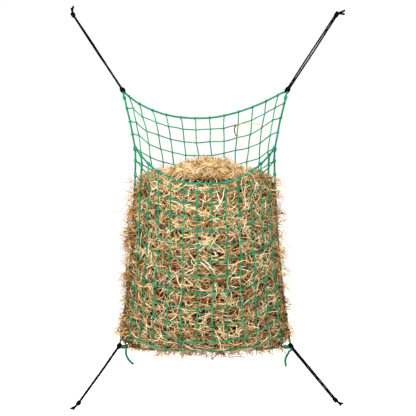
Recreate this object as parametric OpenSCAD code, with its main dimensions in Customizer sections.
// Hay net: a knotted square-mesh bag hung by four tied cords, packed with hay.
// Millimetres, +Z up, +X to the right, +Y away from the person facing the pocket.
// The origin is the middle of the overall box around net and cords.

/* [Netting] */
// squares across the net between the two side ropes
columns = 13; // [11:2:15]
// rows of squares above the pocket mouth
head_rows = 4; // [3:1:5]
// rows of squares from the pocket mouth to the foot
body_rows = 13; // [12:1:14]
// radius of the mesh twine
twine_r = 2.4; // [1.8:0.1:2.6]
// radius of a mesh knot
knot_r = 4.2; // [3.8:0.1:4.6]

/* [Border ropes] */
// radius of the ropes round the edge
rope_r = 3.8; // [3:0.1:4]
// half the width at the top corners
top_half = 334; // [320:1:350]
// half the width at the bottom corners
foot_half = 347; // [330:1:360]
// half the width at the waist, just below the tied ends of the mouth rope
waist_half = 281.5; // [270:1:290]
// height of the top corners over the bottom corners
corner_z = 1037; // [1010:1:1060]
// height of the tied ends of the mouth rope over the bottom corners
mouth_z = 806; // [795:1:815]
// how far the top rope sags at the middle
top_sag = 115; // [95:1:125]
// how far the mouth rope sags at the middle
mouth_sag = 156; // [140:1:170]
// how far the bottom rope sags at the middle
foot_sag = 18; // [10:1:25]

/* [Belly] */
// how far the packed pocket stands forward of the side ropes
front_belly = 190; // [175:1:200]
// how far the packed pocket stands behind the side ropes
back_belly = 90; // [80:1:105]

/* [Hay] */
// height of the level top of the packed hay
hay_top = 686; // [670:1:692]
// height of the loose armful on top of it
armful_h = 68; // [45:1:72]

/* [Hanging cords] */
// radius of one leg of a doubled cord
cord_r = 2.9; // [2:0.1:3.1]
// length of a top cord from its hitch to its knot
top_cord = 366; // [250:1:450]
// length of a bottom cord from its hitch to its knot
foot_cord = 285; // [200:1:400]

/* [Hidden] */
$fn = 24;
GREEN = [0.10, 0.60, 0.38];
BLACK = [0.03, 0.03, 0.035];
STRAW = [0.72, 0.56, 0.34];

// the side of the net, as the sign of X
LEFT = -1;
RIGHT = 1;

// a ring of twine round a border rope: its circle and the radius of its twine
ring_circle_r = rope_r + 2.7;
ring_twine_r = twine_r - 0.4;
turn_pitch = 2 * ring_twine_r + 0.4;
// where a strand stops short of the middle of the rope it is tied to
tie_gap = ring_circle_r + ring_twine_r + 1.6;
// extra gap beside the mouth lashings
lashing_gap = 5;
// where a strand stops at a knot: a hair short, so that the two don't touch
knot_gap = knot_r + 0.05;
// bare band above and below the fold line, between head and back netting
fold_gap = 4;
// knots keep this far from the fold line
fold_knot_gap = fold_gap + 1;
// a strand cut at the fold line is left out unless it is longer than its gap by this
min_stub = 2;

// how much fatter than the rope the ball in a bend is
bend_extra = 0.15;
mouth_end_extra = 0.3;
// the ropes turn into a corner bight this far from Y = 0, and end just short of it
turn_y = 9.5;
end_y = 0.3;
// distances along the ropes
mouth_end_gap = 18;
head_end_gap = 2 * rope_r + 1.3;
lashing_start = 5;
top_whipping_start = 20;
foot_whipping_start = 18;

// ---- small sums ----
function mix(from, to, share) = from + (to - from) * share;
function clamp01(value) = max(0, min(1, value));
function unit(vector) = vector / norm(vector);
function toward(from, to, distance) = from + unit(to - from) * distance;
function middle(values) = (min(values) + max(values)) / 2;

// ---- the shape the hanging net takes ----
// In what follows i counts columns from the left and "across" runs from -1 at the left
// side rope to 1 at the right. j counts head rows down from the top rope, and k counts
// pocket rows down from the mouth.
waist_z = mouth_z - 26;
top_mid_z = corner_z - top_sag;
fold_mid_z = mouth_z - 85;
mouth_mid_z = mouth_z - mouth_sag;
// where the last front row but one of the squares ends on the middle line
low_front_z = -15;
// drawing-in of the columns, as in spread()
head_pull = 0.145;
back_foot_pull = 0.21;
front_pull = 0.24;
front_pull_loss = 0.03;
// how far the top of the head hangs to the left, and how far its right half is raised
head_lean = 10.5;
head_rise = 13;
// how far the loops beside the side ropes are drawn up
edge_lift = 14;

// standing out on the middle line: [share of the way down, share of the belly]
FRONT_PROFILE = [[0, 0.895], [0.15, 0.96], [0.38, 1], [0.62, 0.98],
  [0.77, 0.87], [0.85, 0.74], [0.925, 0.45], [1, 0]];
BACK_PROFILE = [[0, 0.11], [0.15, 0.5], [0.31, 0.78], [0.54, 1],
  [0.77, 0.91], [0.85, 0.76], [0.925, 0.44], [1, 0]];
HEAD_PROFILE = [[0, 0], [0.5, 0], [0.75, 0.04], [1, 0.11]];
function front_out(k) = front_belly * lookup(k / body_rows, FRONT_PROFILE);
function back_out(k) = back_belly * lookup(k / body_rows, BACK_PROFILE);
function head_out(j) = back_belly * lookup(j / head_rows, HEAD_PROFILE);

// half-width between the side ropes at a height
function side_x(z) = z > waist_z
  ? mix(waist_half, top_half, pow((z - waist_z) / (corner_z - waist_z), 1.25))
  : mix(waist_half, foot_half, pow(clamp01((waist_z - z) / waist_z), 1.9));
// height where a row meets the side rope
function head_side_z(j) = mix(corner_z, mouth_z, pow(j / head_rows, 0.93));
function side_z(k) = mouth_z * (1 - pow(k / body_rows, 1.05));
// height of a row on the middle line; the last front row curls under to the bottom rope
function back_mid_z(k) = mix(fold_mid_z, -foot_sag, k / body_rows);
function front_fall_z(k) = mix(mouth_mid_z, low_front_z, pow(k / (body_rows - 1), 1.2));
function front_mid_z(k) = let (curl_row = body_rows - 2)
  k <= curl_row ? front_fall_z(k)
    : mix(front_fall_z(curl_row), -foot_sag, pow(sin(45 * (k - curl_row)), 0.9));

function across_at(i) = 2 * i / columns - 1;
// a square is drawn in sideways where the sheet turns away
function spread(across, pull, power) = across * (1 + pull - pull * pow(abs(across), power));
// height on a sagging row
function sagged(mid_z, edge_z, across, power = 2.5) =
  mid_z + (edge_z - mid_z) * pow(abs(across), power);
// share of the belly left towards the sides
function round_off(across) = 1 - pow(abs(across), 2.4);

// the lean and rise of the head fade out at the fold line
function lean_x(across, j) = -head_lean * (1 - j / head_rows) * (1 - pow(abs(across), 9));
function rise_z(across, j) = across <= 0 ? 0
  : head_rise * sin(180 * pow(min(1, across), 1.25)) * pow(1 - j / head_rows, 0.35);
function edge_lift_z(i, j) =
  (i == 1 || i == columns - 1) ? edge_lift * sin(180 * j / head_rows) : 0;

function head_point(i, j) = let (
    share = j / head_rows,
    across = spread(across_at(i), head_pull, 4),
    edge_z = head_side_z(j),
    sag_power = j == 0 ? 2.5 : mix(2.25, 2.5, share))
  [side_x(edge_z) * across + lean_x(across, j),
    head_out(j) * round_off(across),
    sagged(mix(top_mid_z, fold_mid_z, share), edge_z, across, sag_power)
      + rise_z(across, j) + edge_lift_z(i, j)];
function back_point(i, k) = let (
    across = mix(spread(across_at(i), head_pull, 4),
      spread(across_at(i), back_foot_pull, 2), k / body_rows),
    edge_z = side_z(k))
  [side_x(edge_z) * across, back_out(k) * round_off(across),
    sagged(back_mid_z(k), edge_z, across)];
function front_point(i, k) = let (
    across = spread(across_at(i), front_pull - front_pull_loss * k / body_rows, 2),
    edge_z = side_z(k))
  [side_x(edge_z) * across, -front_out(k) * round_off(across),
    sagged(front_mid_z(k), edge_z, across)];
function side_point(side, z) = [side * side_x(z), 0, z];
function top_corner(side, y = 0) = [side * top_half, y, corner_z];
function foot_corner(side, y = 0) = [side * foot_half, y, 0];
// the column next to a side rope
function edge_column(side) = side < 0 ? 1 : columns - 1;

// ---- hanging cords ----
// the bight of cord round a corner: its circle, and the ball that closes it
bight_r = 8.2;
bight_ball_z = 9.5;
bight_ball_extra = 0.5;
// where the doubled cord starts beyond the corner
cord_start = 18.5;
cord_ball_extra = 0.1;
// half the gap between the legs, and the gap left before the knot
leg_gap = 0.25;
knot_end_gap = 0.6;
knot_len = 18;
knot_fat = 8.6;
// how much slimmer the lump under the rolls is, and how far the rolls stand out
knot_slimming = 2.2;
knot_roll = 1.9;
knot_steps = 16;
// where a tail starts off the knot, and its distance in front of or behind the knot's middle
tail_start = knot_fat + 1.6;
tail_y = 3.4;

// the way from one leg to the other: in the plane of the net, or turned out of it
FLAT_LEGS = [1, 0];
TURNED_LEGS = [0.5, 0.866];
// [corner, direction outwards, length, way between the legs, two tail ends from the knot]
TOP_LEFT = [top_corner(LEFT), unit([-0.549, 0, 0.836]), top_cord, TURNED_LEGS,
  [[2, -2, 31], [-7, 3, 25]]];
TOP_RIGHT = [top_corner(RIGHT), unit([0.545, 0, 0.838]), top_cord, FLAT_LEGS,
  [[31, -2, 14], [31, 3, 1]]];
BOTTOM_LEFT = [foot_corner(LEFT), unit([-0.58, 0, -0.814]), foot_cord, TURNED_LEGS,
  [[-31, -2, -21], [-22, 3, -26]]];
BOTTOM_RIGHT = [foot_corner(RIGHT), unit([0.638, 0, -0.770]), foot_cord, FLAT_LEGS,
  [[28, -2, -13], [21, 3, -21]]];
function cord_len(spec) = spec[2];
function leg_way(spec) = spec[3];
function tails(spec) = spec[4];
function knot_point(spec) = spec[0] + spec[1] * cord_len(spec);

// ---- the middle of the overall box, which becomes the origin ----
tail_tips = [for (spec = [TOP_LEFT, TOP_RIGHT, BOTTOM_LEFT, BOTTOM_RIGHT])
  for (tail = tails(spec)) knot_point(spec) + tail];
pocket_ys = [for (k = [1:body_rows - 1]) for (i = [1:columns - 1])
  each [front_point(i, k)[1], back_point(i, k)[1]]];
box_middle = [middle([for (tip = tail_tips) tip[0]]), middle(pocket_ys),
  middle([for (tip = tail_tips) tip[2]])];

// ---- shapes ----
// stand a shape at a place with its Z axis along a direction
module aim(place, direction) {
  translate(place)
    rotate([0, acos(direction[2] / norm(direction)), atan2(direction[1], direction[0])])
      children();
}
// a straight run between two points, stopping short of each by a gap
module run(start, end, radius, start_gap = 0, end_gap = 0) {
  aim(toward(start, end, start_gap), end - start)
    cylinder(r = radius, h = norm(end - start) - start_gap - end_gap);
}
module ball(place, radius) {
  translate(place) sphere(r = radius);
}
// a ball with its poles along the rope that passes through it
module pearl(place, direction, radius = rope_r + bend_extra) {
  aim(place, direction) sphere(r = radius);
}
// a border rope through a list of points, each bend rounded by a pearl
module rope(points) {
  last = len(points) - 1;
  union() {
    for (m = [0:last - 1]) run(points[m], points[m + 1], rope_r);
    if (last > 1) for (m = [1:last - 1]) pearl(points[m], points[m + 1] - points[m - 1]);
  }
}
// a ring of twine round a rope that lies along a direction
module ring(place, direction) {
  aim(place, direction) rotate_extrude() translate([ring_circle_r, 0]) circle(r = ring_twine_r);
}
// close turns of twine on the rope between two points
module turns(from, to, start, count) {
  for (m = [0:count - 1]) ring(toward(from, to, start + m * turn_pitch), to - from);
}

// ---- netting ----
// whether a height is on the kept side of the fold line; up keeps what is above it
function kept(z, up, gap) = up ? z > mouth_z + gap : z < mouth_z - gap;
// the gap at column i of a strand that runs across
function across_gap(i, tie = tie_gap) = (i == 0 || i == columns) ? tie : knot_gap;

// the part of a strand on one side of the fold line
module cut_run(start, end, start_gap, end_gap, up) {
  limit_z = up ? mouth_z + fold_gap : mouth_z - fold_gap;
  start_kept = kept(start[2], up, fold_gap);
  end_kept = kept(end[2], up, fold_gap);
  // the tiny addition guards level strands against division by zero
  share = (limit_z - start[2]) / (end[2] - start[2] + 0.000001);
  cut = start + (end - start) * share;
  start_len = norm(cut - start);
  end_len = norm(end - cut);
  if (start_kept && end_kept)
    run(start, end, twine_r, start_gap, end_gap);
  else if (start_kept && start_len > start_gap + min_stub)
    run(start, cut, twine_r, start_gap, max(0, end_gap - end_len));
  else if (end_kept && end_len > end_gap + min_stub)
    run(cut, end, twine_r, max(0, start_gap - start_len), end_gap);
}
module cut_knot(place, up) {
  if (kept(place[2], up, fold_knot_gap)) ball(place, knot_r);
}
// the head's rows above the fold row, which is row 0 of the back
module head_strands(up) {
  for (j = [0:head_rows - 1]) {
    if (j > 0) for (i = [0:columns - 1])
      cut_run(head_point(i, j), head_point(i + 1, j), across_gap(i), across_gap(i + 1), up);
    for (i = [1:columns - 1]) {
      cut_run(head_point(i, j), head_point(i, j + 1), j == 0 ? tie_gap : knot_gap, knot_gap, up);
      if (j > 0) cut_knot(head_point(i, j), up);
    }
  }
}

module head_netting() {
  color(GREEN) translate(-box_middle) union() head_strands(true);
}
// the sagging part of the head below the fold line belongs to the back
module back_netting() {
  color(GREEN) translate(-box_middle) union() {
    head_strands(false);
    for (k = [0:body_rows - 1]) {
      tie = tie_gap + (k == 0 ? lashing_gap : 0);
      for (i = [0:columns - 1])
        cut_run(back_point(i, k), back_point(i + 1, k),
          across_gap(i, tie), across_gap(i + 1, tie), false);
      for (i = [1:columns - 1]) {
        run(back_point(i, k), back_point(i, k + 1), twine_r,
          knot_gap, k == body_rows - 1 ? tie_gap : knot_gap);
        cut_knot(back_point(i, k), false);
      }
    }
  }
}
module front_netting() {
  color(GREEN) translate(-box_middle) union() {
    for (k = [0:body_rows - 1]) {
      if (k > 0) for (i = [0:columns - 1])
        run(front_point(i, k), front_point(i + 1, k), twine_r,
          across_gap(i), across_gap(i + 1));
      for (i = [1:columns - 1]) {
        run(front_point(i, k), front_point(i, k + 1), twine_r,
          k == 0 ? tie_gap : knot_gap, k == body_rows - 1 ? tie_gap : knot_gap);
        if (k > 0) ball(front_point(i, k), knot_r);
      }
    }
  }
}

// ---- border ropes ----
// the side ropes run from the pocket mouth down and into the corner bight from behind
module side_rope(side) {
  start = side_point(side, mouth_z);
  color(GREEN) translate(-box_middle) union() {
    rope(concat([start], [for (k = [1:body_rows - 1]) side_point(side, side_z(k))],
      [foot_corner(side, turn_y), foot_corner(side, end_y)]));
    pearl(start, side_point(side, side_z(1)) - start);
  }
}
// the head ropes run from above the pocket mouth up and into the corner bight from the front
module head_rope(side) {
  mouth = side_point(side, mouth_z);
  next = side_point(side, head_side_z(head_rows - 1));
  start = toward(mouth, next, head_end_gap);
  color(GREEN) translate(-box_middle) union() {
    rope(concat([start], [for (j = [head_rows - 1:-1:1]) side_point(side, head_side_z(j))],
      [top_corner(side, -turn_y), top_corner(side, -end_y)]));
    pearl(start, next - mouth);
  }
}
module top_rope() {
  color(GREEN) translate(-box_middle) rope(concat(
    [top_corner(LEFT, end_y), top_corner(LEFT, turn_y)],
    [for (i = [1:columns - 1]) head_point(i, 0)],
    [top_corner(RIGHT, turn_y), top_corner(RIGHT, end_y)]));
}
module bottom_rope() {
  color(GREEN) translate(-box_middle) rope(concat(
    [foot_corner(LEFT, -end_y), foot_corner(LEFT, -turn_y)],
    [for (i = [1:columns - 1]) front_point(i, body_rows)],
    [foot_corner(RIGHT, -turn_y), foot_corner(RIGHT, -end_y)]));
}
// the mouth rope starts and ends just clear of its lashings
function mouth_next(side) = front_point(edge_column(side), 0);
function mouth_end(side) = toward(side_point(side, mouth_z), mouth_next(side), mouth_end_gap);
module mouth_rope() {
  color(GREEN) translate(-box_middle) union() {
    rope(concat([mouth_end(LEFT)], [for (i = [1:columns - 1]) front_point(i, 0)],
      [mouth_end(RIGHT)]));
    for (side = [LEFT, RIGHT])
      pearl(mouth_end(side), mouth_next(side) - mouth_end(side), rope_r + mouth_end_extra);
  }
}
// the loose ends of the border rope below the bottom corners, from the top down
LEFT_TAIL = [[-318, -16, -15], [-317, -16, -31], [-309, -16, -48], [-291, -16, -67]];
RIGHT_TAIL = [[341, -16, -15], [331, -16, -32], [323, -16, -50], [325, -16, -73]];
module rope_tail(points) {
  color(GREEN) translate(-box_middle) union() {
    rope(points);
    pearl(points[0], points[1] - points[0]);
  }
}

// ---- twine round the border ropes ----
// rings that tie the rows to the side ropes
module side_lacing(side) {
  color(GREEN) translate(-box_middle) for (k = [1:body_rows - 1])
    ring(side_point(side, side_z(k)),
      side_point(side, side_z(k - 0.5)) - side_point(side, side_z(k + 0.5)));
}
module head_lacing(side) {
  color(GREEN) translate(-box_middle) for (j = [1:head_rows - 1])
    ring(side_point(side, head_side_z(j)),
      side_point(side, head_side_z(j - 0.5)) - side_point(side, head_side_z(j + 0.5)));
}
// rings that tie the columns to the top, mouth and bottom ropes;
// each lies along the line between two points this part of a column to either side
hitch_reach = 0.4;
module top_rope_hitches() {
  color(GREEN) translate(-box_middle) for (i = [1:columns - 1])
    ring(head_point(i, 0), head_point(i + hitch_reach, 0) - head_point(i - hitch_reach, 0));
}
module front_row_hitches(k) {
  color(GREEN) translate(-box_middle) for (i = [1:columns - 1])
    ring(front_point(i, k), front_point(i + hitch_reach, k) - front_point(i - hitch_reach, k));
}
// the mouth rope's lashings, and the whippings by the four corners
module mouth_lashing(side) {
  color(GREEN) translate(-box_middle)
    turns(side_point(side, mouth_z), side_point(side, side_z(1)), lashing_start, 3);
}
module top_whipping(side) {
  color(GREEN) translate(-box_middle)
    turns(top_corner(side, -turn_y), side_point(side, head_side_z(1)), top_whipping_start, 3);
}
module foot_whipping(side) {
  color(GREEN) translate(-box_middle) turns(foot_corner(side, -turn_y),
    front_point(edge_column(side), body_rows), foot_whipping_start, 2);
}

// ---- hay ----
hay_inset = 15;
// further inset of the topmost ring, and of the two side edges
hay_top_inset = 6;
hay_side_inset = 5;
// points on each face of a ring, and levels above the lowest ring
hay_steps = 14;
hay_levels = 11;
hay_foot_z = 12;
// halvings when searching for a row
search_steps = 14;

// the row of the pocket at a height, found by closing in between two rows
function row_at(across, z, low, high, steps, front) = steps == 0 ? (low + high) / 2
  : let (row = (low + high) / 2, mid_z = front ? front_mid_z(row) : back_mid_z(row))
    sagged(mid_z, side_z(row), across) > z
      ? row_at(across, z, row, high, steps - 1, front)
      : row_at(across, z, low, row, steps - 1, front);
// how far the netting stands out at a place
function net_out(x, z, front) = let (
    across = abs(x) / side_x(z),
    row = row_at(across, z, 0, body_rows, search_steps, front))
  (front ? front_out(row) : back_out(row)) * round_off(across);
// slimmest half-depth of the hay: a thin wedge at the foot, thicker further up
function slimmest(across, z) = let (growth = clamp01((z - 10) / 60))
  1 + 1.5 * growth + (1.5 + 7 * growth) * round_off(across);
// the half-width is drawn in further near the foot
function hay_half(z) = side_x(z) - hay_inset - hay_side_inset - 20 * clamp01((75 - z) / 60);
// the front face (-1) from left to right, then the back face (1) from right to left
function hay_ring(z, inset) = [for (face = [-1, 1]) for (m = [0:hay_steps - 1])
  let (across = -face * (2 * m / hay_steps - 1), x = hay_half(z) * across)
  [x, face * max(slimmest(across, z), net_out(x, z, face < 0) - inset), z]];

// a closed solid from rings of points, lowest first
module stack(rings) {
  count = len(rings[0]);
  top = len(rings) - 1;
  polyhedron(points = [for (points = rings) each points],
    faces = concat(
      [[for (m = [0:count - 1]) m]],
      [[for (m = [count - 1:-1:0]) top * count + m]],
      [for (level = [0:top - 1]) for (m = [0:count - 1])
        let (low = level * count, high = low + count, next = (m + 1) % count)
        each [[low + m, high + m, low + next], [low + next, high + m, high + next]]]));
}
module hay_core() {
  color(STRAW) translate(-box_middle) stack([for (m = [0:hay_levels])
    hay_ring(mix(hay_foot_z, hay_top, pow(m / hay_levels, 0.9)),
      hay_inset + (m == hay_levels ? hay_top_inset : 0))]);
}

// the loose armful, a mound kept inside the mouth rope and in front of the head of the net
armful_half = 236;
armful_inset = 17;
armful_lift = 4;
armful_steps = 10;
// the line in Y that the mound closes in on
armful_y = -75;
function armful_front(x) =
  -front_out(0) * round_off(x / side_x(mouth_z)) + armful_inset;
function armful_back(x) = -9 - 12 * pow(x / armful_half, 2);
function armful_ring(z, scale) = [for (face = [-1, 1]) for (m = [0:armful_steps])
  let (x = -face * armful_half * (2 * m / armful_steps - 1))
  [x * scale, mix(armful_y, face < 0 ? armful_front(x) : armful_back(x), scale), z]];
module hay_armful() {
  // the rings rise by the sine of 15 degree steps, the first a hair above level
  color(STRAW) translate(-box_middle) stack([for (m = [0:5])
    armful_ring(hay_top + armful_lift + armful_h * sin(15 * m + 0.001),
      sqrt(1 - pow(m / 5.6, 2)))]);
}

// ---- hanging cord pieces ----
// from the corner, turn +Z along the cord, with the local X axis kept in the plane of the net
module along(spec) {
  direction = spec[1];
  translate(spec[0]) rotate([0, atan2(direction[0], direction[2]), 0]) children();
}
module hitch(spec) {
  color(BLACK) translate(-box_middle) along(spec) union() {
    rotate([90, 0, 0]) rotate_extrude() translate([bight_r, 0]) circle(r = cord_r);
    translate([0, 0, bight_ball_z]) sphere(r = cord_r + bight_ball_extra);
  }
}
// two legs side by side
module cord(spec) {
  offset = leg_way(spec) * (cord_r + leg_gap);
  color(BLACK) translate(-box_middle) along(spec) for (leg = [-1, 1])
    translate([leg * offset[0], leg * offset[1], cord_start]) union() {
      sphere(r = cord_r + cord_ball_extra);
      cylinder(r = cord_r, h = cord_len(spec) - cord_start - knot_len / 2 - knot_end_gap);
    }
}
// the overhand knot that shuts the doubled cord: a lump with two rolls of cord in it
function knot_radius(share) = (knot_fat - knot_slimming) * pow(sin(10 + 160 * share), 0.6)
  + knot_roll * pow(sin(360 * share), 2);
module cord_knot(spec) {
  color(BLACK) translate(-box_middle) along(spec)
    translate([0, 0, cord_len(spec) - knot_len / 2])
      rotate_extrude() polygon(concat([[0, 0]],
        [for (m = [0:knot_steps]) let (share = m / knot_steps)
          [knot_radius(share), knot_len * share]],
        [[0, knot_len]]));
}
// the first tail leaves the knot in front, the second behind
module cord_tails(spec) {
  knot = knot_point(spec);
  color(BLACK) translate(-box_middle) for (m = [0, 1])
    let (tail = tails(spec)[m],
      start = knot + unit(tail) * tail_start + [0, m == 0 ? -tail_y : tail_y, 0])
    union() {
      run(start, knot + tail, cord_r);
      ball(knot + tail, cord_r + cord_ball_extra);
    }
}

back_netting();
front_netting();
side_rope(LEFT);  // left_side_rope
side_rope(RIGHT);  // right_side_rope
bottom_rope();
side_lacing(LEFT);  // left_side_lacing
side_lacing(RIGHT);  // right_side_lacing
front_row_hitches(body_rows);  // bottom_rope_hitches
mouth_lashing(LEFT);  // left_mouth_lashing
mouth_lashing(RIGHT);  // right_mouth_lashing
foot_whipping(LEFT);  // left_foot_whipping
foot_whipping(RIGHT);  // right_foot_whipping
hay_core();
head_netting();
top_rope();
head_rope(LEFT);  // left_head_rope
head_rope(RIGHT);  // right_head_rope
top_rope_hitches();
head_lacing(LEFT);  // left_head_lacing
head_lacing(RIGHT);  // right_head_lacing
top_whipping(LEFT);  // left_top_whipping
top_whipping(RIGHT);  // right_top_whipping
mouth_rope();
front_row_hitches(0);  // mouth_rope_hitches
hay_armful();
rope_tail(LEFT_TAIL);  // left_rope_tail
rope_tail(RIGHT_TAIL);  // right_rope_tail
hitch(TOP_LEFT);  // top_left_hitch
cord(TOP_LEFT);  // top_left_cord
cord_knot(TOP_LEFT);  // top_left_knot
cord_tails(TOP_LEFT);  // top_left_cord_tails
hitch(TOP_RIGHT);  // top_right_hitch
cord(TOP_RIGHT);  // top_right_cord
cord_knot(TOP_RIGHT);  // top_right_knot
cord_tails(TOP_RIGHT);  // top_right_cord_tails
hitch(BOTTOM_LEFT);  // bottom_left_hitch
cord(BOTTOM_LEFT);  // bottom_left_cord
cord_knot(BOTTOM_LEFT);  // bottom_left_knot
cord_tails(BOTTOM_LEFT);  // bottom_left_cord_tails
hitch(BOTTOM_RIGHT);  // bottom_right_hitch
cord(BOTTOM_RIGHT);  // bottom_right_cord
cord_knot(BOTTOM_RIGHT);  // bottom_right_knot
cord_tails(BOTTOM_RIGHT);  // bottom_right_cord_tails
